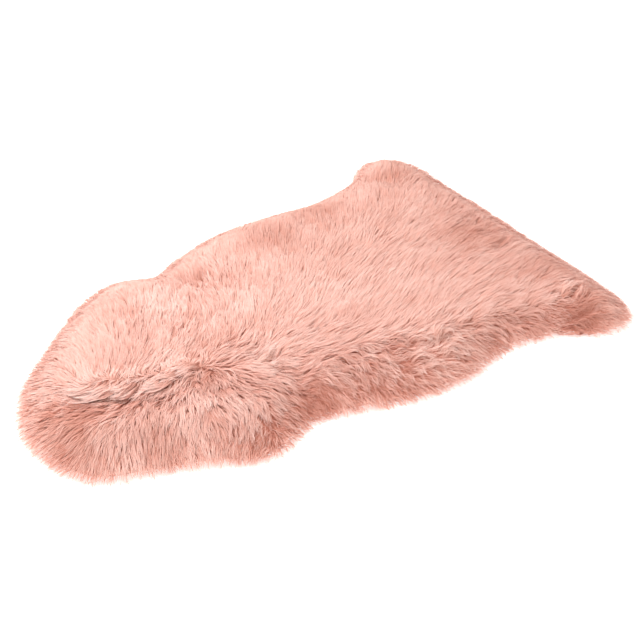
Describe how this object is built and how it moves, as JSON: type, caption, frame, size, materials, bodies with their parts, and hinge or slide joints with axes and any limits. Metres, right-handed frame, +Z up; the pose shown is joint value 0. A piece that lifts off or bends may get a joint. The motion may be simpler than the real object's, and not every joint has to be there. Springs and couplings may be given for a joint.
{
  "type": "sheepskin rug",
  "caption": "Long-wool sheepskin rug lying flat: a tanned pelt in its natural outline, with deep combed wool and locks round its rim.",
  "frame": {"origin": "on the floor, under the middle of the rug's length and width", "axes": "+X from the neck to the tail, +Y to the rug's far side as its wool faces up, +Z up out of the wool"},
  "size_m": [0.955, 0.63, 0.0653],
  "materials": {
    "wool": "long combed wool, salmon pink, soft sheen",
    "hide": "suede side of tanned skin, pale, matt"
  },
  "bodies": {
    "root": {"pelt": "wool"}
  },
  "joints": []
}
